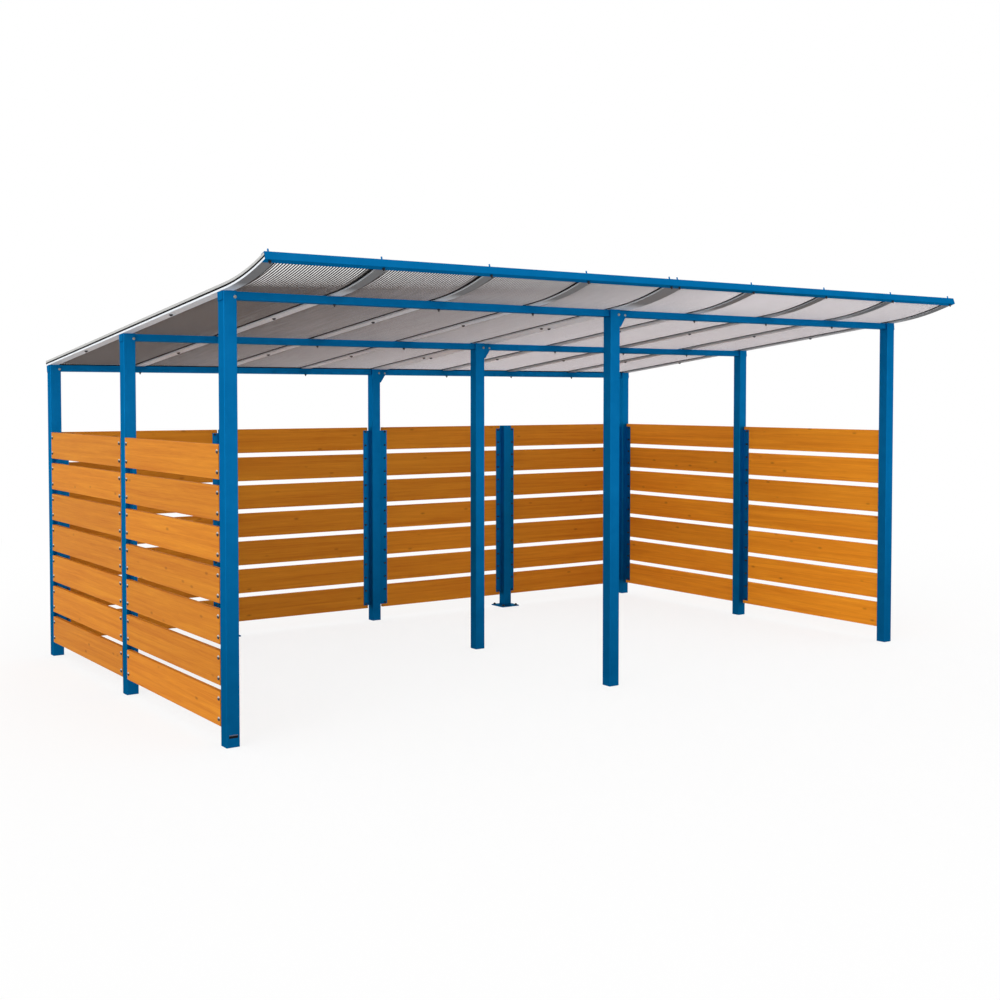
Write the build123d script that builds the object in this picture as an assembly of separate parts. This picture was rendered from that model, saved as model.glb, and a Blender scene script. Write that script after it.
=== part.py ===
from build123d import *
import math
import os

os.makedirs("parts", exist_ok=True)

# Driving dimensions, millimetres
post_size = 70
post_wall = 3
post_corner = 4
cap_thick = 4
module_width = 2500
row_pitch = 1416
head_height = 2231
roof_slope = 6.1

# Beams between the posts
beam_depth = 40
beam_height = 40
beam_wall = 2.5
beam_corner = 4
end_plate_thick = 5
end_plate_width = 58
end_plate_height = 44
gusset_thick = 5
gusset_reach = 60
gusset_heel = 50
gusset_drop = 60
gusset_toe = 6

# Roof build-up, from the beams upwards
rafter_width = 60
rafter_thick = 10
sheet_thick = 10
cover_thick = 13
roof_side_lap = 7
rafter_inner_pitch = 631
bolt_gap = 24
seal_width = 40
seal_depth = 14
seal_clear = 1
bend_start = 65
bend_radius = 1900
bend_turn = 14.1

# Front edge channel
channel_thick = 3
channel_flange = 34
channel_clear = 2
channel_bolt_radius = 4
channel_bolt_height = 22
channel_bolt_inset = 17

# Slatted walls
plank_count = 7
plank_height = 172
plank_thick = 27
wall_bottom = 93
wall_top = 1486
side_end_gap = 6
left_end_gap = 20
right_end_gap = 42
short_end_gap = 16

# Angle bars that hold the planks to the posts
angle_thick = 3
angle_post_leg = 30
angle_side_leg = 58
angle_overlap = 37
angle_inset = 24

# Short wall posts on foot plates
wall_post_shift = 14
foot_size = 165
foot_thick = 8
foot_corner = 6
foot_hole_radius = 7
foot_hole_pitch = 125
foot_vent_radius = 16

# Values worked out from the dimensions above
half_post = post_size / 2
slope = math.radians(roof_slope)
left_pitch = module_width - post_size
columns = [0, left_pitch, left_pitch + module_width]
rows = [0, row_pitch, 2 * row_pitch]
back_face = rows[2] + half_post
stack = rafter_thick + sheet_thick + cover_thick
wall_post_x = [(first + last) / 2 - wall_post_shift for first, last in zip(columns, columns[1:])]
plank_pitch = (wall_top - wall_bottom - plank_height) / (plank_count - 1)
bend_y = -bend_start
bend_z = head_height + bend_start * math.tan(slope)
bend_end = slope + math.radians(bend_turn)


def head_z(y):
    # Height of the beam tops and post heads at depth y
    return head_height - y * math.tan(slope)


def straight_point(y, offset):
    # Point on the straight roof, offset square to the slope
    along = (y - bend_y) / math.cos(slope)
    return (
        0,
        bend_y + along * math.cos(slope) + offset * math.sin(slope),
        bend_z - along * math.sin(slope) + offset * math.cos(slope),
    )


def bend_point(angle, offset):
    # Point on the upswept front, where the roof stands at this angle
    reach = bend_radius - offset
    return (
        0,
        bend_y + bend_radius * math.sin(slope) - reach * math.sin(angle),
        bend_z + bend_radius * math.cos(slope) - reach * math.cos(angle),
    )


def bend_edge(first, last, offset):
    middle = (first + last) / 2
    return ThreePointArc(bend_point(first, offset), bend_point(middle, offset), bend_point(last, offset))


def roof_strip(x, width, low, high, back_y, front_angle):
    # Strip along the roof from the back edge up round the front bend
    edges = [
        Line(straight_point(back_y, low), straight_point(bend_y, low)),
        bend_edge(slope, front_angle, low),
        Line(bend_point(front_angle, low), bend_point(front_angle, high)),
        bend_edge(front_angle, slope, high),
        Line(straight_point(bend_y, high), straight_point(back_y, high)),
        Line(straight_point(back_y, high), straight_point(back_y, low)),
    ]
    return Pos(x, 0, 0) * extrude(Face(Wire(edges)), amount=width, dir=(1, 0, 0))


def straight_strip(x, width, low, high, back_y, front_y):
    corners = [
        straight_point(back_y, low),
        straight_point(front_y, low),
        straight_point(front_y, high),
        straight_point(back_y, high),
    ]
    return Pos(x, 0, 0) * extrude(Face(Wire.make_polygon(corners)), amount=width, dir=(1, 0, 0))


def bend_strip(x, width, low, high, first, last):
    edges = [
        bend_edge(first, last, low),
        Line(bend_point(last, low), bend_point(last, high)),
        bend_edge(last, first, high),
        Line(bend_point(first, high), bend_point(first, low)),
    ]
    return Pos(x, 0, 0) * extrude(Face(Wire(edges)), amount=width, dir=(1, 0, 0))


def roof_plane(x, y, drop):
    # Plane of the beam tops, moved down square to the slope
    origin = Vector(x, y, head_z(y)) - Vector(0, math.sin(slope), math.cos(slope)) * drop
    return Plane(origin=origin, x_dir=(1, 0, 0), z_dir=(0, math.sin(slope), math.cos(slope)))


def block(x0, x1, y0, y1, z0, z1):
    body = Box(x1 - x0, y1 - y0, z1 - z0, align=(Align.MIN, Align.MIN, Align.MIN))
    return Pos(x0, y0, z0) * body


x_middle = (columns[0] + columns[2]) / 2
channel_tip = bend_end + channel_thick / bend_radius
front_tip_y = bend_point(channel_tip, -channel_thick)[1]
back_tip_y = rows[2] + foot_size / 2
y_middle = (front_tip_y + back_tip_y) / 2


def save(name, shapes):
    placed = [Pos(-x_middle, -y_middle, 0) * shape for shape in shapes]
    whole = placed[0] if len(placed) == 1 else Compound(children=placed)
    export_step(whole, "parts/" + name + ".step")


# Tall posts: square tubes, cut to the roof slope and capped
def tall_post(x, y, plate_side):
    over_height = head_z(y) + post_size
    inner_size = post_size - 2 * post_wall
    outer = extrude(RectangleRounded(post_size, post_size, post_corner), amount=over_height)
    inner = extrude(RectangleRounded(inner_size, inner_size, post_corner - post_wall), amount=over_height)
    outer = split(Pos(x, y, 0) * outer, bisect_by=roof_plane(x, y, 0), keep=Keep.BOTTOM)
    inner = split(Pos(x, y, 0) * inner, bisect_by=roof_plane(x, y, cap_thick), keep=Keep.BOTTOM)
    post = outer - inner
    if plate_side != 0:
        reach = half_post + end_plate_thick
        plate = Box(reach, end_plate_width, end_plate_height, align=(Align.MIN, Align.CENTER, Align.MAX))
        core = Box(half_post, end_plate_width, end_plate_height, align=(Align.MIN, Align.CENTER, Align.MAX))
        plate = plate - core
        if plate_side < 0:
            plate = mirror(plate, about=Plane.YZ)
        post = post + roof_plane(x, y, 0).location * plate
    return post


row_names = ["front", "middle", "back"]
column_names = ["left", "centre", "right"]
for row, row_name in enumerate(row_names):
    for column, column_name in enumerate(column_names):
        save(row_name + "_" + column_name + "_post", [tall_post(columns[column], rows[row], column - 1)])


# Beams: rectangular tubes between the posts, tops on the roof slope
def beam(left, right, y):
    length = right - left
    outer = extrude(RectangleRounded(beam_depth, beam_height, beam_corner), amount=length)
    inner_depth = beam_depth - 2 * beam_wall
    inner_height = beam_height - 2 * beam_wall
    inner = extrude(RectangleRounded(inner_depth, inner_height, beam_corner - beam_wall), amount=length)
    tube = Plane.YZ.location * (outer - inner)
    return roof_plane(left, y, beam_height / 2).location * tube


def gusset(x, y, side):
    # Corner plate on the face of a right-hand beam, against the centre post
    outline = [
        (0, -beam_corner, 0),
        (gusset_reach, -beam_corner, 0),
        (gusset_reach, -beam_height, 0),
        (gusset_heel, -beam_height, 0),
        (gusset_toe, -beam_height - gusset_drop, 0),
        (0, -beam_height - gusset_drop, 0),
    ]
    plate = extrude(Face(Wire.make_polygon(outline)), amount=gusset_thick, dir=(0, 0, 1))
    plate = Plane.XZ.location * plate
    shift = -beam_depth / 2 if side < 0 else beam_depth / 2 + gusset_thick
    return roof_plane(x, y, 0).location * (Pos(0, shift, 0) * plate)


for row, row_name in enumerate(row_names):
    left_span = beam(columns[0] + half_post, columns[1] - half_post, rows[row])
    save(row_name + "_beam_left", [left_span])
    start = columns[1] + half_post
    right_span = beam(start, columns[2] - half_post, rows[row])
    right_span = right_span + gusset(start, rows[row], -1) + gusset(start, rows[row], 1)
    save(row_name + "_beam_right", [right_span])

# Rafters, seals, sheets and cover strips, five rafter lines a module
roof_left = columns[0] - half_post - roof_side_lap
roof_right = columns[2] + half_post + roof_side_lap
roof_joint = columns[1] + half_post + roof_side_lap
sheet_low = rafter_thick
sheet_high = rafter_thick + sheet_thick
front_end = bend_end - channel_clear / bend_radius


def module_lines(left, right):
    # Left edges of the five rafters of one module
    middle = (left + right - rafter_width) / 2
    return [left, middle - rafter_inner_pitch, middle, middle + rafter_inner_pitch, right - rafter_width]


def module_sheets(lines, left, right):
    # Left and right edges of the four sheets of one module
    lap = (rafter_width - bolt_gap) / 2
    starts = [left + seal_width + seal_clear] + [line + rafter_width - lap for line in lines[1:4]]
    ends = [line + lap for line in lines[1:4]] + [right - seal_width - seal_clear]
    return list(zip(starts, ends))


for name, left, right in [("left", roof_left, roof_joint), ("right", roof_joint, roof_right)]:
    lines = module_lines(left, right)
    rafters = [roof_strip(x, rafter_width, 0, rafter_thick, back_face, front_end) for x in lines]
    covers = [roof_strip(x, rafter_width, sheet_high, stack, back_face, front_end) for x in lines]
    seals = []
    for x in [left, right - seal_width]:
        seals.append(roof_strip(x, seal_width, sheet_low, sheet_high, back_face, front_end))
    for first, second in zip(lines, lines[1:]):
        start = first + rafter_width + seal_clear
        width = second - seal_clear - start
        seals.append(straight_strip(start, width, 0, sheet_low, rows[2] + seal_depth, rows[2]))
    save("rafters_" + name, rafters)
    save("cover_strips_" + name, covers)
    save("roof_seals_" + name, seals)
    for number, (start, end) in enumerate(module_sheets(lines, left, right), 1):
        sheet = roof_strip(start, end - start, sheet_low, sheet_high, back_face, front_end)
        save("roof_sheet_" + name + "_" + str(number), [sheet])

# Front edge channel, clamped over the roof's front end
roof_span = roof_right - roof_left
flange_start = bend_end - channel_flange / bend_radius
lower_flange = bend_strip(roof_left, roof_span, -channel_thick, 0, flange_start, channel_tip)
upper_flange = bend_strip(roof_left, roof_span, stack, stack + channel_thick, flange_start, channel_tip)
web = bend_strip(roof_left, roof_span, 0, stack, bend_end, channel_tip)
channel = lower_flange + web + upper_flange


def channel_bolt(x):
    # Bolt end standing on the upper flange
    angle = bend_end - channel_bolt_inset / bend_radius
    seat = bend_point(angle, stack + channel_thick / 2)
    axis = Plane(origin=(x, seat[1], seat[2]), x_dir=(1, 0, 0), z_dir=(0, math.sin(angle), math.cos(angle)))
    length = channel_thick / 2 + channel_bolt_height
    stud = Cylinder(channel_bolt_radius, length, align=(Align.CENTER, Align.CENTER, Align.MIN))
    return axis.location * stud


for left, right in [(roof_left, roof_joint), (roof_joint, roof_right)]:
    for line in module_lines(left, right):
        channel = channel + channel_bolt(line + rafter_width / 2)
save("front_edge_channel", [channel])


# Short posts in the back wall, in line with the back row
def wall_post(x):
    inner_size = post_size - 2 * post_wall
    outer = extrude(RectangleRounded(post_size, post_size, post_corner), amount=wall_top)
    bore = RectangleRounded(inner_size, inner_size, post_corner - post_wall)
    bore_height = wall_top - foot_thick - cap_thick
    inner = Pos(0, 0, foot_thick) * extrude(bore, amount=bore_height)
    foot = extrude(RectangleRounded(foot_size, foot_size, foot_corner), amount=foot_thick)
    holes = GridLocations(foot_hole_pitch, foot_hole_pitch, 2, 2) * Circle(foot_hole_radius)
    drilled = foot - extrude(Sketch() + holes, amount=foot_thick)
    post = drilled + outer - inner
    vent = extrude(Circle(foot_vent_radius), amount=foot_thick)
    return Pos(x, rows[2], 0) * (post - vent)


for name, x in zip(["left", "right"], wall_post_x):
    save("back_wall_post_" + name, [wall_post(x)])


# Slatted panels: seven planks each, outer faces in line with the posts
def plank_panel(x0, x1, y0, y1):
    panel = []
    for number in range(plank_count):
        z = wall_bottom + number * plank_pitch
        panel.append(block(x0, x1, y0, y1, z, z + plank_height))
    return panel


angle_low = wall_bottom + angle_inset
angle_high = wall_top - angle_inset


def side_angle(wall_face, inward, post_face, along, plank_reach):
    # Angle bar joining a side-wall panel to a post face square to it
    inner = wall_face + inward * plank_thick
    leg = sorted([inner, inner + inward * angle_thick])
    reach = sorted([post_face, post_face + along * plank_reach])
    flat = sorted([inner, inner + inward * angle_post_leg])
    stem = sorted([post_face, post_face + along * angle_thick])
    plank_leg = block(leg[0], leg[1], reach[0], reach[1], angle_low, angle_high)
    post_leg = block(flat[0], flat[1], stem[0], stem[1], angle_low, angle_high)
    return plank_leg + post_leg


def back_angle(post_face, along, plank_reach):
    # Angle bar joining a back-wall panel to the side of a post
    inner = back_face - plank_thick
    reach = sorted([post_face, post_face + along * plank_reach])
    stem = sorted([post_face, post_face + along * angle_thick])
    plank_leg = block(reach[0], reach[1], inner - angle_thick, inner, angle_low, angle_high)
    post_leg = block(stem[0], stem[1], inner - angle_post_leg, inner, angle_low, angle_high)
    return plank_leg + post_leg


# The right wall has short legs where a post hides the angle from the front
side_walls = [
    ("left", columns[0] - half_post, 1, angle_side_leg),
    ("right", columns[2] + half_post, -1, angle_post_leg),
]
for name, wall_face, inward, front_reach in side_walls:
    angles = []
    x_pair = sorted([wall_face, wall_face + inward * plank_thick])
    for bay, bay_name in enumerate(["front", "back"]):
        near = rows[bay] + half_post
        far = rows[bay + 1] - half_post
        planks = plank_panel(x_pair[0], x_pair[1], near + side_end_gap, far - side_end_gap)
        save(name + "_wall_" + bay_name, planks)
        angles.append(side_angle(wall_face, inward, near, 1, front_reach))
        angles.append(side_angle(wall_face, inward, far, -1, angle_side_leg))
    save(name + "_wall_angles", angles)

back_walls = [
    ("left", left_end_gap, ["outer", "inner"]),
    ("right", right_end_gap, ["inner", "outer"]),
]
for number, (name, tall_gap, span_names) in enumerate(back_walls):
    near = columns[number] + half_post
    far = columns[number + 1] - half_post
    stop = wall_post_x[number]
    spans = [
        (near, tall_gap, stop - half_post, short_end_gap),
        (stop + half_post, short_end_gap, far, tall_gap),
    ]
    angles = []
    for span_name, (start, start_gap, end, end_gap) in zip(span_names, spans):
        inner_y = back_face - plank_thick
        planks = plank_panel(start + start_gap, end - end_gap, inner_y, back_face)
        save("back_wall_" + name + "_" + span_name, planks)
        angles.append(back_angle(start, 1, start_gap + angle_overlap))
        angles.append(back_angle(end, -1, end_gap + angle_overlap))
    save("back_wall_angles_" + name, angles)
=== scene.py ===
"""Visual model of the bike shelter, dressed over its CAD frame."""

import math
import random

import bpy
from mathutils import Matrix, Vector


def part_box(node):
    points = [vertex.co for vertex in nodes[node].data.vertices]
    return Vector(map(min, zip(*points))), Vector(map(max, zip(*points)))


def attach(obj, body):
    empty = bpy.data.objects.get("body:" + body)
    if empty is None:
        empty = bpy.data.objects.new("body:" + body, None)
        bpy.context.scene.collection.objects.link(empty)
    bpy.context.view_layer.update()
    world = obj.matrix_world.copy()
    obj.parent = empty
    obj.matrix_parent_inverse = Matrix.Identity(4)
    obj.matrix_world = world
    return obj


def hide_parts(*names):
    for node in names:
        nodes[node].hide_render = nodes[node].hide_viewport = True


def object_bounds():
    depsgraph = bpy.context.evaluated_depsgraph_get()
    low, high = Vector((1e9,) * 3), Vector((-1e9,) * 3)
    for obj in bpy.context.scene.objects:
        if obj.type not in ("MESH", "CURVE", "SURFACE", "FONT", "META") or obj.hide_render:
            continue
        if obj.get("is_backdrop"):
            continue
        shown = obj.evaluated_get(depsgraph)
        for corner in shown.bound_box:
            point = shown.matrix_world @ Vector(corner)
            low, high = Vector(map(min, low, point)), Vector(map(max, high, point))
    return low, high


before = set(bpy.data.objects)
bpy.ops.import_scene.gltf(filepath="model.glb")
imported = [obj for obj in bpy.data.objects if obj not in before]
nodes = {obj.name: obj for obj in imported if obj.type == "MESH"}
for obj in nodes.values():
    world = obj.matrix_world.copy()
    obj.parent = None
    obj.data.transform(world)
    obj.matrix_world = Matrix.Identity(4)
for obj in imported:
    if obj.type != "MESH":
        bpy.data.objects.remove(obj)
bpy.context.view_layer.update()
rng = random.Random(7)


def centre(name, axis):
    """Middle of a CAD node's box along an axis."""
    low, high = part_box(name)
    return (low[axis] + high[axis]) / 2


# Post grid from the frame, metres
POST = 0.07
END_PLATE = 0.005
ROWS = [centre(name + "_centre_post", 1) for name in ("front", "middle", "back")]
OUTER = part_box("front_left_post")[0][0] + END_PLATE + POST / 2
COLUMNS = [OUTER, centre("front_centre_post", 0), -OUTER]
FRONT_ROW = ROWS[0]
BACK_FACE = ROWS[2] + POST / 2

# Roof curve: straight from the back edge, then a bend that sweeps up at the front
SLOPE = math.radians(6.1)
HEAD = 2.231
BEND_START = 0.065
BEND_Y = FRONT_ROW - BEND_START
BEND_Z = HEAD + BEND_START * math.tan(SLOPE)
BEND_RADIUS = 1.9
BEND_TURN = math.radians(14.1)
STRAIGHT = (BACK_FACE - BEND_Y) / math.cos(SLOPE)
ROOF_LENGTH = STRAIGHT + BEND_RADIUS * BEND_TURN
SHEET_SETBACK = 0.002
SHEET_LENGTH = ROOF_LENGTH - SHEET_SETBACK

# Heights of the roof's layers over the rafters' underside
SHEET_LOW = 0.01
SHEET_HIGH = 0.02
COVER_TOP = 0.033


def roof_point(x, run, offset):
    """Point on the roof: run from the back edge, offset up from the rafters' underside."""
    if run <= STRAIGHT:
        back = STRAIGHT - run
        y = BEND_Y + back * math.cos(SLOPE) + offset * math.sin(SLOPE)
        z = BEND_Z - back * math.sin(SLOPE) + offset * math.cos(SLOPE)
        return (x, y, z)
    angle = SLOPE + (run - STRAIGHT) / BEND_RADIUS
    reach = BEND_RADIUS - offset
    y = BEND_Y + BEND_RADIUS * math.sin(SLOPE) - reach * math.sin(angle)
    z = BEND_Z + BEND_RADIUS * math.cos(SLOPE) - reach * math.cos(angle)
    return (x, y, z)


def roof_normal(run):
    """Upward direction square to the roof."""
    angle = SLOPE if run <= STRAIGHT else SLOPE + (run - STRAIGHT) / BEND_RADIUS
    return Vector((0, math.sin(angle), math.cos(angle)))


def run_at(y):
    """Run from the back edge at a depth on the straight part."""
    return (BACK_FACE - y) / math.cos(SLOPE)


# Colours
def linear(red, green, blue):
    """Linear colour of an sRGB colour in 0 to 255."""
    out = []
    for value in (red, green, blue):
        share = value / 255
        out.append(share / 12.92 if share <= 0.04045 else ((share + 0.055) / 1.055) ** 2.4)
    return (*out, 1)


def grey(level):
    """Neutral colour of a linear level."""
    return (level, level, level, 1)


WHITE = grey(1)


# Shader nodes
def plug(tree, node, sockets):
    """Fill sockets, each with a value or with another node's output."""
    for key, value in sockets.items():
        if isinstance(value, bpy.types.NodeSocket):
            tree.links.new(value, node.inputs[key])
        else:
            node.inputs[key].default_value = value


def add(tree, kind, sockets=None, **properties):
    """New node with its properties set and its sockets filled."""
    node = tree.nodes.new(kind)
    for key, value in properties.items():
        setattr(node, key, value)
    plug(tree, node, sockets or {})
    return node


def new_material(name):
    """New material with its node tree and main shader."""
    material = bpy.data.materials.new(name)
    material.use_nodes = True
    tree = material.node_tree
    return material, tree, tree.nodes["Principled BSDF"]


def object_place(tree):
    """Coordinates in the object's own frame."""
    return add(tree, "ShaderNodeTexCoord").outputs["Object"]


def stored(tree, name, output="Fac"):
    """Value that a mesh keeps for each vertex."""
    return add(tree, "ShaderNodeAttribute", attribute_name=name).outputs[output]


def computed(tree, operation, *values):
    """Result of a sum on values or other nodes' outputs."""
    return add(tree, "ShaderNodeMath", dict(enumerate(values)), operation=operation).outputs["Value"]


def remapped(tree, value, low=0.0, high=1.0, first=0.0, last=1.0):
    """Value that runs from first to last while another runs from low to high."""
    sockets = {"Value": value, "From Min": low, "From Max": high, "To Min": first, "To Max": last}
    return add(tree, "ShaderNodeMapRange", sockets).outputs["Result"]


def by_place(tree, axis, low, high, first, last):
    """Value that runs from first to last between two places along an axis."""
    parts = add(tree, "ShaderNodeSeparateXYZ", {"Vector": object_place(tree)})
    return remapped(tree, parts.outputs[axis], low, high, first, last)


def facing(tree, axis):
    """How far a face points along an axis, from 0 for against it to 1 for with it."""
    normal = add(tree, "ShaderNodeNewGeometry").outputs["Normal"]
    parts = add(tree, "ShaderNodeSeparateXYZ", {"Vector": normal})
    return remapped(tree, parts.outputs[axis], low=-1.0)


def stretched(tree, place, scale):
    """Coordinates scaled apart in X, Y and Z."""
    return add(tree, "ShaderNodeMapping", {"Vector": place, "Scale": scale}).outputs["Vector"]


def noise(tree, place, stretch, **settings):
    """Noise pattern over coordinates scaled apart in X, Y and Z."""
    sockets = {"Vector": stretched(tree, place, stretch), **settings}
    return add(tree, "ShaderNodeTexNoise", sockets).outputs["Fac"]


def two_tone(tree, factor, dark, light, low=0.3, high=0.7):
    """Colour that runs from dark to light while a factor runs from low to high."""
    ramp = add(tree, "ShaderNodeValToRGB", {"Fac": factor})
    first, last = ramp.color_ramp.elements
    first.position = low
    last.position = high
    first.color = dark
    last.color = light
    return ramp.outputs["Color"]


def multiplied(tree, first, second):
    """Product of two colours."""
    sockets = {"Factor": 1.0, "A": first, "B": second}
    return add(tree, "ShaderNodeMix", sockets, data_type="RGBA", blend_type="MULTIPLY").outputs["Result"]


def shaded(tree, colour, value):
    """Colour made darker or lighter by a value."""
    return add(tree, "ShaderNodeHueSaturation", {"Color": colour, "Value": value}).outputs["Color"]


def bump(tree, height, strength, distance=0.001):
    """Normal that follows a height pattern."""
    sockets = {"Height": height, "Strength": strength, "Distance": distance}
    return add(tree, "ShaderNodeBump", sockets).outputs["Normal"]


def blended(tree, share, first, second):
    """Shader that goes from the first to the second as the share rises."""
    return add(tree, "ShaderNodeMixShader", {"Fac": share, 1: first, 2: second}).outputs["Shader"]


def show(tree, surface):
    """Make a shader the material's surface."""
    plug(tree, tree.nodes["Material Output"], {"Surface": surface})


# Materials
WEB_SOLID_SHARE = 0.8


def speckled(name, dark, light, scale, roughness, bumps, metallic=0.0, gloss=0.5):
    """Plain finish with a fine mottle of two tones."""
    material, tree, shader = new_material(name)
    mottle = noise(tree, object_place(tree), (1, 1, 1), Scale=scale, Detail=4.0, Roughness=0.6)
    plug(tree, shader, {
        "Base Color": two_tone(tree, mottle, dark, light),
        "Roughness": roughness,
        "Metallic": metallic,
        "Specular IOR Level": gloss,
        "Normal": bump(tree, mottle, bumps),
    })
    return material


def blue_material():
    """Powder coat, with painted shade that darkens it towards the ground."""
    material, tree, shader = new_material("blue_paint")
    mottle = noise(tree, object_place(tree), (1, 1, 1), Scale=9.0, Detail=4.0, Roughness=0.6)
    paint = two_tone(tree, mottle, linear(5, 101, 158), linear(9, 108, 166))
    # Painted shade: the paint grows darker towards the ground.
    painted_shade_by_height = by_place(tree, "Z", low=0.15, high=1.2, first=0.65, last=1.0)
    plug(tree, shader, {
        "Base Color": shaded(tree, paint, painted_shade_by_height),
        "Roughness": 0.42,
        "Metallic": 0.55,
        "Specular IOR Level": 0.0,
        "Specular Tint": linear(120, 200, 218),
        "Normal": bump(tree, mottle, strength=0.03),
    })
    return material


def wood_material():
    """Grain along each plank, a few knots, a random tone for each plank and painted light that makes some
    walls lighter or darker.
    """
    material, tree, shader = new_material("plank_wood")
    place = stored(tree, "grain", "Vector")
    broad = noise(tree, place, (1.1, 42, 42), Scale=1.0, Detail=5.0, Roughness=0.62, Distortion=0.6)
    fine = noise(tree, place, (9, 420, 420), Scale=1.0, Detail=2.0, Roughness=0.5)
    mixed = add(tree, "ShaderNodeMix", {"Factor": 0.3, "A": broad, "B": fine}, data_type="FLOAT")
    grain = mixed.outputs["Result"]
    plain = two_tone(tree, grain, linear(192, 106, 16), linear(222, 142, 34), low=0.3, high=0.66)
    knot_place = stretched(tree, place, (4.4, 11, 11))
    cells = add(tree, "ShaderNodeTexVoronoi", {"Vector": knot_place, "Scale": 1.0})
    knots = two_tone(tree, cells.outputs["Distance"], (0.64, 0.6, 0.56, 1), WHITE, low=0.03, high=0.12)
    plug(tree, shader, {
        "Base Color": shaded(tree, multiplied(tree, plain, knots), stored(tree, "tone_and_painted_light")),
        "Roughness": 0.6,
        "Specular IOR Level": 0.12,
        "Normal": bump(tree, grain, strength=0.15, distance=0.002),
    })
    return material


def skin_material():
    """Clear plastic skin, with painted light that makes it milkier and brighter towards the right, and
    faint drawing lines.
    """
    material, tree, shader = new_material("sheet_skin")
    lines = noise(tree, object_place(tree), (8, 0.4, 1), Scale=6.0, Detail=3.0)
    plug(tree, shader, {
        "Base Color": two_tone(tree, lines, linear(196, 192, 190), linear(222, 219, 217)),
        "Roughness": 0.3,
        "Specular IOR Level": 0.3,
        "Alpha": 0.02,
    })
    milk = add(tree, "ShaderNodeBsdfTranslucent", {"Color": linear(246, 243, 244)})
    # Painted light: the skin turns more translucent towards the right.
    painted_light_milkiness = by_place(tree, "X", low=-0.6, high=1.0, first=0.0, last=0.23)
    show(tree, blended(tree, painted_light_milkiness, shader.outputs["BSDF"], milk.outputs["BSDF"]))
    return material


def web_material():
    """Webs inside the sheets, with painted light that makes them smoky at the left end and paler towards
    the right, painted shade on their lower edge and under the front bend, and clear at the top.
    """
    material, tree, shader = new_material("sheet_web")
    streaks = noise(tree, object_place(tree), (30, 1, 1), Scale=3.0, Detail=3.0)
    # Painted light: the webs run from smoky at the left end to pale at the right.
    painted_light_by_side = by_place(tree, "X", low=-2.5, high=2.5, first=0.0, last=1.0)
    spread = computed(tree, "MULTIPLY_ADD", streaks, 0.12, painted_light_by_side)
    tone_and_painted_light = two_tone(tree, spread, linear(103, 94, 90), linear(236, 232, 235), low=0.14, high=0.68)
    rise = stored(tree, "rise")
    # Painted shade: the webs darken along their lower edge and light up along their upper edge, and
    # darken most under the front bend at the left end.
    painted_shade_by_height = remapped(tree, rise, high=0.65, first=0.55, last=1.45)
    painted_front_shade = by_place(tree, "X", low=-1.9, high=0.6, first=0.05, last=1.0)
    painted_shade_at_front = remapped(tree, stored(tree, "ahead"), first=1.0, last=painted_front_shade)
    plug(tree, shader, {
        "Base Color": shaded(tree, tone_and_painted_light, computed(tree, "MULTIPLY", painted_shade_by_height, painted_shade_at_front)),
        "Alpha": computed(tree, "LESS_THAN", rise, WEB_SOLID_SHARE),
        "Roughness": 0.6,
        "Specular IOR Level": 0.1,
    })
    return material


def aluminium_material(name, dark, light):
    """Drawn aluminium, with painted shade that darkens it under the bend and towards the right."""
    material, tree, shader = new_material(name)
    streaks = noise(tree, object_place(tree), (120, 1, 120), Scale=3.0, Detail=4.0, Roughness=0.6)
    drawn = two_tone(tree, streaks, dark, light)
    # Painted shade: faces turned down and forward under the bend are darker, and the metal darkens
    # towards the right.
    painted_shade_by_tilt = two_tone(tree, facing(tree, "Y"), grey(0.26), WHITE, low=0.41, high=0.443)
    painted_light_by_side = by_place(tree, "X", low=0.0, high=1.2, first=1.0, last=0.6)
    plug(tree, shader, {
        "Base Color": shaded(tree, multiplied(tree, drawn, painted_shade_by_tilt), painted_light_by_side),
        "Roughness": 0.5,
        "Specular IOR Level": 0.15,
        "Normal": bump(tree, streaks, strength=0.03),
    })
    return material


def cap_material():
    """Bolt caps with a painted reflection: bright above and dark below."""
    material, tree, shader = new_material("cap_painted_reflection")
    # Painted reflection: faces turned up are bright, faces turned down are near black.
    tone_and_painted_light = two_tone(tree, facing(tree, "Z"), linear(8, 8, 10), linear(205, 203, 198), low=0.55, high=0.8)
    plug(tree, shader, {"Base Color": tone_and_painted_light, "Roughness": 0.35})
    return material


blue = blue_material()
rafter_metal = aluminium_material("aluminium", linear(222, 227, 232), linear(243, 248, 253))
cover_metal = aluminium_material("aluminium_cover", linear(180, 180, 179), linear(196, 196, 194))
rubber = speckled(
    "seal_rubber", linear(6, 6, 6), linear(14, 14, 14),
    scale=60.0, roughness=0.8, bumps=0.1, gloss=0.1,
)
black_bolt = speckled(
    "black_bolt", linear(18, 18, 22), linear(34, 34, 40),
    scale=90.0, roughness=0.45, bumps=0.08, metallic=0.2,
)
bright_bolt = speckled(
    "bright_bolt", linear(136, 132, 126), linear(168, 164, 156),
    scale=70.0, roughness=0.4, bumps=0.06, metallic=0.4,
)
plate_dark = speckled(
    "plate_dark", linear(4, 4, 8), linear(10, 10, 16),
    scale=50.0, roughness=0.5, bumps=0.04, gloss=0.1,
)
plate_grey = speckled(
    "plate_grey", linear(84, 92, 112), linear(96, 104, 124),
    scale=50.0, roughness=0.5, bumps=0.04, gloss=0.1,
)
cap_painted_reflection = cap_material()
wood = wood_material()
clear_skin = skin_material()
web_tone = web_material()


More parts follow.
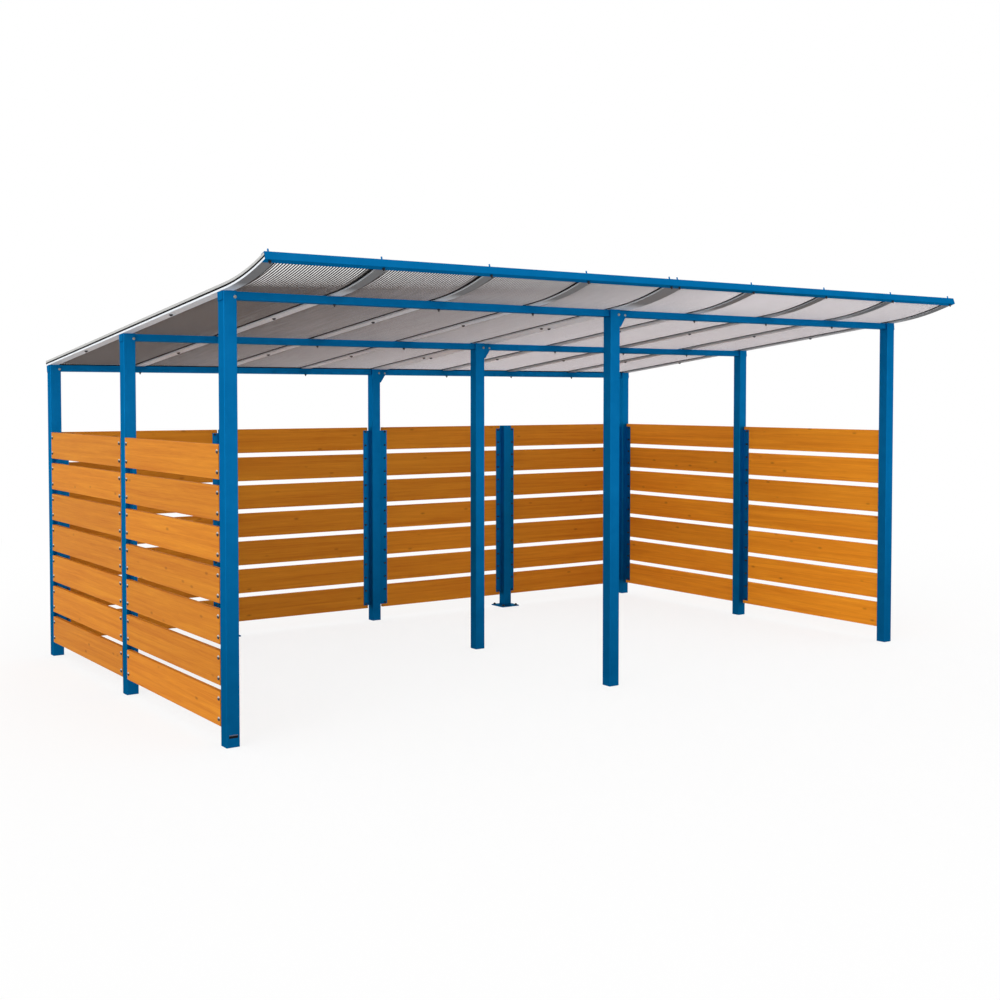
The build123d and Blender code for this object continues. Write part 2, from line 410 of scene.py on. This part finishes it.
# Mesh building
class Shell:
    """Mesh that grows by closed pieces, each with a material slot."""

    def __init__(self):
        self.verts = []
        self.faces = []
        self.slots = []

    def add(self, verts, faces, slot=0):
        base = len(self.verts)
        self.verts.extend(tuple(v) for v in verts)
        self.faces.extend([base + i for i in face] for face in faces)
        self.slots.extend([slot] * len(faces))

    def box(self, low, high, slot=0):
        xs, ys, zs = zip(low, high)
        corners = [(x, y, z) for x in xs for y in ys for z in zs]
        sides = [(0, 1, 3, 2), (4, 6, 7, 5), (0, 4, 5, 1), (2, 3, 7, 6), (0, 2, 6, 4), (1, 5, 7, 3)]
        self.add(corners, sides, slot)

    def turned(self, profile, origin, axis, sides=12):
        """Round or hexagonal piece: (radius, height) pairs from the base up."""
        axis = Vector(axis).normalized()
        side = axis.orthogonal().normalized()
        other = axis.cross(side)
        origin = Vector(origin)
        verts = []
        for radius, height in profile:
            for step in range(sides):
                turn = 2 * math.pi * step / sides
                spoke = side * math.cos(turn) + other * math.sin(turn)
                verts.append(origin + axis * height + spoke * radius)
        faces = []
        for ring in range(len(profile) - 1):
            for step in range(sides):
                after = (step + 1) % sides
                low, high = ring * sides, (ring + 1) * sides
                faces.append((low + step, low + after, high + after, high + step))
        faces.append(tuple(reversed(range(sides))))
        last = (len(profile) - 1) * sides
        faces.append(tuple(range(last, last + sides)))
        self.add(verts, faces)

    def strip(self, x0, x1, low, high, runs, slot=0):
        """Closed strip along the roof between two offsets."""
        verts = []
        for run in runs:
            verts += [roof_point(x0, run, low), roof_point(x1, run, low)]
            verts += [roof_point(x1, run, high), roof_point(x0, run, high)]
        faces = [(0, 1, 2, 3)]
        for step in range(len(runs) - 1):
            here, there = step * 4, step * 4 + 4
            for side in range(4):
                after = (side + 1) % 4
                faces.append((here + after, here + side, there + side, there + after))
        end = (len(runs) - 1) * 4
        faces.append((end + 3, end + 2, end + 1, end))
        self.add(verts, faces, slot)

    def make(self, name, materials, replaced=(), smooth=False):
        """Object that rides on the one body, in place of the CAD nodes named."""
        mesh = bpy.data.meshes.new(name)
        mesh.from_pydata(self.verts, [], self.faces)
        for material in materials:
            mesh.materials.append(material)
        mesh.polygons.foreach_set("material_index", self.slots)
        if smooth:
            mesh.polygons.foreach_set("use_smooth", [True] * len(self.faces))
        mesh.update()
        piece = bpy.data.objects.new(name, mesh)
        bpy.context.scene.collection.objects.link(piece)
        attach(piece, "root")
        for node in replaced:
            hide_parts(node)
        return piece


def store(piece, name, values):
    """Keep one number a vertex for the materials."""
    piece.data.attributes.new(name, "FLOAT", "POINT").data.foreach_set("value", values)


def store_vectors(piece, name, vectors):
    """Keep one vector a vertex for the materials."""
    kept = piece.data.attributes.new(name, "FLOAT_VECTOR", "POINT")
    kept.data.foreach_set("vector", [part for vector in vectors for part in vector])


def outline(width, height, radius, steps=2):
    """Rounded rectangle about its centre, with an arc of a few steps at each corner."""
    points = []
    for corner, (sx, sy) in enumerate([(1, 1), (-1, 1), (-1, -1), (1, -1)]):
        for step in range(steps + 1):
            turn = math.radians(90 * (corner + step / steps))
            x = sx * (width / 2 - radius) + radius * math.cos(turn)
            y = sy * (height / 2 - radius) + radius * math.sin(turn)
            points.append((x, y))
    return points


# Planks with eased edges, seven to a panel
PLANKS = 7
PLANK = 0.172
PLANK_EDGE = 0.003
PLANK_TONES = (0.93, 1.06)
# Painted light for each wall: lighter planks on the right wall, darker on the back wall.
WALL_PAINTED_LIGHT = {"left": 0.98, "right": 1.18, "back": 0.93}
GRAIN_SHIFT = 50


def wall_of(name):
    """Wall that a panel belongs to: left, right or back."""
    return name.split("_")[0]


def plank_levels(low, high):
    """Heights of the planks' lower edges in a panel."""
    pitch = (high - low - PLANK) / (PLANKS - 1)
    return [low + pitch * number for number in range(PLANKS)]


def panel(name):
    """Planks in a panel's place; gives its box and the axis that they run along."""
    low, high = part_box(name)
    along = 0 if high[0] - low[0] > high[1] - low[1] else 1
    across = 1 - along
    thick = high[across] - low[across]
    middle = (low[across] + high[across]) / 2
    ring = outline(thick, PLANK, PLANK_EDGE)
    count = len(ring)
    sides = [(s, (s + 1) % count, count + (s + 1) % count, count + s) for s in range(count)]
    if along == 1:
        sides = [tuple(reversed(side)) for side in sides]
    ends = [tuple(range(count)), tuple(range(count, 2 * count))]
    ends[along] = tuple(reversed(ends[along]))
    shell = Shell()
    grain = []
    tones_and_painted_light = []
    for level in plank_levels(low[2], high[2]):
        shift = Vector([rng.uniform(0, GRAIN_SHIFT) for axis in range(3)])
        # Each plank's random tone times the painted light of its wall.
        tone_and_painted_light = rng.uniform(*PLANK_TONES) * WALL_PAINTED_LIGHT[wall_of(name)]
        verts = []
        for end in (low[along], high[along]):
            for u, v in ring:
                point = [0, 0, level + PLANK / 2 + v]
                point[along] = end
                point[across] = middle + u
                verts.append(point)
                grain.append(Vector((end, u, v)) + shift)
                tones_and_painted_light.append(tone_and_painted_light)
        shell.add(verts, sides + ends)
    piece = shell.make("planks_" + name, [wood], [name])
    store_vectors(piece, "grain", grain)
    store(piece, "tone_and_painted_light", tones_and_painted_light)
    return low, high, along


# Bolts through planks and angles: round heads outside, nuts inside
CAP = [(0.0115, 0), (0.0115, 0.001), (0.0105, 0.003), (0.008, 0.0052), (0.0045, 0.0064), (0.0015, 0.0068)]
NUT_HEIGHT = 0.0062
NUT = [(0.0078, 0), (0.0078, NUT_HEIGHT)]
STUD = [(0.0042, NUT_HEIGHT), (0.0042, 0.0125), (0.003, 0.0135)]
ANGLE_THICK = 0.003
BOLT_SPREAD = 0.051
OUTWARD = {"left": -1, "right": 1, "back": 1}
# Distance of the bolts from the planks' low and high ends, by wall
BOLT_INSETS = {"left": (0.016, 0.022), "right": (0.012, 0.034), "back": (0.019, 0.019)}


def nut_and_stud(shell, point, axis):
    """Hexagonal nut with the end of its bolt."""
    shell.turned(NUT, point, axis, sides=6)
    shell.turned(STUD, point, axis, sides=8)


panels = [name for name in nodes if "_wall_" in name and "angles" not in name and "post" not in name]
heads = Shell()
nuts = Shell()
for name in sorted(panels):
    low, high, along = panel(name)
    across = 1 - along
    wall = wall_of(name)
    outward = OUTWARD[wall]
    outside, inside = low[across], high[across]
    if outward > 0:
        outside, inside = inside, outside
    first, last = BOLT_INSETS[wall]
    for level in plank_levels(low[2], high[2]):
        for height in (level + PLANK / 2 - BOLT_SPREAD, level + PLANK / 2 + BOLT_SPREAD):
            for place in (low[along] + first, high[along] - last):
                point = [0, 0, height]
                axis = [0, 0, 0]
                point[along] = place
                axis[across] = outward
                point[across] = outside
                heads.turned(CAP, point, axis)
                point[across] = inside - outward * ANGLE_THICK
                axis[across] = -outward
                nut_and_stud(nuts, point, axis)
heads.make("plank_bolt_heads", [cap_painted_reflection], smooth=True)
nuts.make("plank_bolt_nuts", [black_bolt])

# Multiwall sheets: two skins with upright webs between them
SKIN = 0.0008
WEB = 0.0012
WEB_PITCH = 0.0165
ARC_STEPS = 14
# Stations along the roof: the back edge, then steps through the bend; the shares are of the bend
shares = [0] + [step / ARC_STEPS for step in range(ARC_STEPS + 1)]
runs = [0] + [STRAIGHT + (SHEET_LENGTH - STRAIGHT) * share for share in shares[1:]]
for name in sorted(nodes):
    if not name.startswith("roof_sheet"):
        continue
    low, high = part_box(name)
    shell = Shell()
    shell.strip(low[0], high[0], SHEET_LOW, SHEET_LOW + SKIN, runs)
    shell.strip(low[0], high[0], SHEET_HIGH - SKIN, SHEET_HIGH, runs)
    cells = round((high[0] - low[0] - WEB) / WEB_PITCH)
    for number in range(cells + 1):
        x = low[0] + (high[0] - low[0] - WEB) * number / cells
        shell.strip(x, x + WEB, SHEET_LOW + SKIN, SHEET_HIGH - SKIN, runs, slot=1)
    piece = shell.make("multiwall_" + name, [clear_skin, web_tone], [name])
    strips = cells + 3
    store(piece, "rise", [0, 0, 1, 1] * len(runs) * strips)
    store(piece, "ahead", [share for share in shares for corner in range(4)] * strips)

# Rafter lines, and black gaskets beside the rafters under the sheets
RAFTER = 0.06
RAFTER_PITCH = 0.631
GASKET_WIDTH = 0.016
GASKET_DEPTH = 0.0016
GASKET_GAP = 0.0002
GASKET_TOP = SHEET_LOW - GASKET_GAP
rafter_lines = []
gaskets = Shell()
for name in ("rafters_left", "rafters_right"):
    low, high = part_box(name)
    middle = centre(name, 0)
    inner = [middle + RAFTER_PITCH * step for step in (-1, 0, 1)]
    lines = [low[0] + RAFTER / 2, *inner, high[0] - RAFTER / 2]
    rafter_lines += lines
    starts = [x - RAFTER / 2 - GASKET_GAP - GASKET_WIDTH for x in lines[1:]]
    starts += [x + RAFTER / 2 + GASKET_GAP for x in lines[:-1]]
    for x in starts:
        gaskets.strip(x, x + GASKET_WIDTH, GASKET_TOP - GASKET_DEPTH, GASKET_TOP, runs)
gaskets.make("rafter_gaskets", [rubber])

# Roof bolts: midway between the beams, over each beam and through the front edge
DOME = [(0.0105, 0), (0.0105, 0.003), (0.008, 0.007), (0.004, 0.009)]
HEAD_BOLT = [(0.0085, 0), (0.0085, 0.0015), (0.007, 0.004), (0.004, 0.0055)]
BEAM = 0.04
BOLT_CLEARANCE = 0.01
CHANNEL_WALL = 0.003
CHANNEL_BOLT_INSET = 0.017
roof_bolts = Shell()
for x in rafter_lines:
    for row, next_row in zip(ROWS, ROWS[1:]):
        run = run_at((row + next_row) / 2)
        up = roof_normal(run)
        roof_bolts.turned(DOME, roof_point(x, run, 0), -up)
        nut_and_stud(roof_bolts, roof_point(x, run, COVER_TOP), up)
    for row in ROWS:
        run = run_at(row)
        up = roof_normal(run)
        if min(abs(x - column) for column in COLUMNS) > POST / 2 + BOLT_CLEARANCE:
            nut_and_stud(roof_bolts, roof_point(x, run, -BEAM), -up)
        roof_bolts.turned(HEAD_BOLT, roof_point(x, run, COVER_TOP), up, sides=10)
    run = ROOF_LENGTH - CHANNEL_BOLT_INSET
    up = roof_normal(run)
    roof_bolts.turned(NUT, roof_point(x, run, COVER_TOP + CHANNEL_WALL), up, sides=6)
    nut_and_stud(roof_bolts, roof_point(x, run, -CHANNEL_WALL), -up)
roof_bolts.make("roof_bolts", [black_bolt])

# Bright bolts in the heads of the left and centre posts, and in the gussets beside the centre posts
POST_BOLT_SHIFT = 0.025
POST_BOLT_DROP = 0.026
GUSSET = 0.005
GUSSET_BOLT_SHIFT = 0.08
GUSSET_BOLT_DROP = 0.028
FORWARD = (0, -1, 0)
head_bolts = Shell()
for column, x in enumerate(COLUMNS[:2]):
    for row in ROWS:
        head = HEAD - (row - FRONT_ROW) * math.tan(SLOPE)
        spot = (x + POST_BOLT_SHIFT, row - POST / 2, head - POST_BOLT_DROP)
        head_bolts.turned(HEAD_BOLT, spot, FORWARD)
        if column == 1:
            spot = (x + GUSSET_BOLT_SHIFT, row - BEAM / 2 - GUSSET, head - GUSSET_BOLT_DROP)
            head_bolts.turned(HEAD_BOLT, spot, FORWARD)
head_bolts.make("head_bolts", [bright_bolt])

# Anchor nuts on the foot plates of the short posts
FOOT = 0.008
FOOT_HOLE = 0.0625
WASHER_TOP = 0.0025
ANCHOR_TOP = 0.0085
WASHER = [(0.014, 0), (0.014, WASHER_TOP)]
ANCHOR = [(0.011, WASHER_TOP), (0.011, ANCHOR_TOP)]
ANCHOR_END = [(0.006, ANCHOR_TOP), (0.006, 0.0115), (0.005, 0.0125)]
UPWARD = (0, 0, 1)
anchors = Shell()
for name in ("back_wall_post_left", "back_wall_post_right"):
    for sx in (-FOOT_HOLE, FOOT_HOLE):
        for sy in (-FOOT_HOLE, FOOT_HOLE):
            spot = (centre(name, 0) + sx, centre(name, 1) + sy, FOOT)
            anchors.turned(WASHER, spot, UPWARD, sides=16)
            anchors.turned(ANCHOR, spot, UPWARD, sides=6)
            anchors.turned(ANCHOR_END, spot, UPWARD, sides=10)
anchors.make("foot_anchors", [black_bolt])

# Blank plate low on the front left post, with a grey upper edge
PLATE_WIDTH = 0.046
PLATE_SHIFT = 0.001
PLATE_THICK = 0.001
PLATE_LEVELS = (0.046, 0.058, 0.063)
PLATE_LEFT = COLUMNS[0] + PLATE_SHIFT - PLATE_WIDTH / 2
PLATE_RIGHT = PLATE_LEFT + PLATE_WIDTH
PLATE_BACK = FRONT_ROW - POST / 2
PLATE_FRONT = PLATE_BACK - PLATE_THICK
plate = Shell()
for slot, (bottom, top) in enumerate(zip(PLATE_LEVELS, PLATE_LEVELS[1:])):
    plate.box((PLATE_LEFT, PLATE_FRONT, bottom), (PLATE_RIGHT, PLATE_BACK, top), slot)
plate.make("blank_plate", [plate_dark, plate_grey])

# Materials on the CAD nodes: by the start of the name, then wood for panels and blue for the rest
NODE_MATERIALS = {
    "rafters": rafter_metal,
    "cover_strips": cover_metal,
    "roof_seals": rubber,
    "roof_sheet": clear_skin,
}
for name, node in nodes.items():
    material = wood if name in panels else blue
    for start, special in NODE_MATERIALS.items():
        if name.startswith(start):
            material = special
    node.data.materials.clear()
    node.data.materials.append(material)


# Floor and world: white to the rays that show the background, plainer light for the part
FLOOR_REACH = 60
FLOOR_DROP = 0.001
FLOOR_BOUNCE = 0.6
FADE_START = 3.0
FADE_END = 9.0
GLOW_NEAR = 0.8
WORLD_LIGHT = 0.85
WORLD_SEEN = 1.0
scene = bpy.context.scene


def seen(tree):
    """One for rays that show the background: to the camera, mirrored or let through."""
    path = add(tree, "ShaderNodeLightPath")
    total = path.outputs["Is Camera Ray"]
    for kind in ("Is Glossy Ray", "Is Transmission Ray"):
        total = computed(tree, "MAXIMUM", total, path.outputs[kind])
    return total


def floor_material():
    """Pale floor that keeps the part's shadow close by and fades to white far off."""
    material, tree, shader = new_material("floor_white")
    plug(tree, shader, {"Base Color": grey(FLOOR_BOUNCE), "Roughness": 0.9, "Specular IOR Level": 0.0})
    white = add(tree, "ShaderNodeBsdfDiffuse", {"Color": WHITE})
    glow = add(tree, "ShaderNodeEmission", {"Color": WHITE, "Strength": 1.0})
    distance = add(tree, "ShaderNodeVectorMath", {0: object_place(tree)}, operation="LENGTH")
    fade = remapped(tree, distance.outputs["Value"], low=FADE_START, high=FADE_END, first=GLOW_NEAR)
    backdrop = blended(tree, fade, white.outputs["BSDF"], glow.outputs["Emission"])
    show(tree, blended(tree, seen(tree), shader.outputs["BSDF"], backdrop))
    return material


floor_corners = [(x * FLOOR_REACH, y * FLOOR_REACH, 0) for x, y in ((-1, -1), (1, -1), (1, 1), (-1, 1))]
floor_mesh = bpy.data.meshes.new("floor")
floor_mesh.from_pydata(floor_corners, [], [(0, 1, 2, 3)])
floor_mesh.materials.append(floor_material())
floor = bpy.data.objects.new("floor", floor_mesh)
floor.location = (0, 0, -FLOOR_DROP)
scene.collection.objects.link(floor)
floor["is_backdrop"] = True

world = bpy.data.worlds.new("studio")
scene.world = world
world.use_nodes = True
tree = world.node_tree
strength = remapped(tree, seen(tree), first=WORLD_LIGHT, last=WORLD_SEEN)
plug(tree, tree.nodes["Background"], {"Color": WHITE, "Strength": strength})


# Lamps
def soft_sun(name, energy, spread, direction):
    """Wide lamp that shines along a direction, with its spread in degrees."""
    data = bpy.data.lights.new(name, "SUN")
    data.energy = energy
    data.angle = math.radians(spread)
    lamp = bpy.data.objects.new(name, data)
    lamp.rotation_euler = Vector(direction).to_track_quat("-Z", "Y").to_euler()
    scene.collection.objects.link(lamp)


soft_sun("key", energy=1.6, spread=45, direction=(0.9, 0.42, -0.2))
soft_sun("fill", energy=0.4, spread=60, direction=(-0.3, 1, -0.15))

# Camera at the photo's viewing angle
CAMERA_X = -5.0934
CAMERA_BEFORE = 6.0457
CAMERA_HEIGHT = 1.7161
CAMERA_DOWN = math.radians(2.0588)
CAMERA_TURN = math.radians(-34.8643)
CAMERA_SHIFT = (0.00567, -0.05495)
SENSOR = 36
LENS_SHARE = 1.32368
VIEW_END = 200
camera_data = bpy.data.cameras.new("camera")
camera_data.sensor_fit = "HORIZONTAL"
camera_data.sensor_width = SENSOR
camera_data.lens = SENSOR * LENS_SHARE
camera_data.shift_x, camera_data.shift_y = CAMERA_SHIFT
camera_data.dof.use_dof = False
camera_data.clip_end = VIEW_END
camera = bpy.data.objects.new("camera", camera_data)
camera.location = (CAMERA_X, FRONT_ROW - CAMERA_BEFORE, CAMERA_HEIGHT)
camera.rotation_euler = (math.pi / 2 - CAMERA_DOWN, 0, CAMERA_TURN)
scene.collection.objects.link(camera)
scene.camera = camera

scene.view_settings.view_transform = "Standard"

low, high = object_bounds()
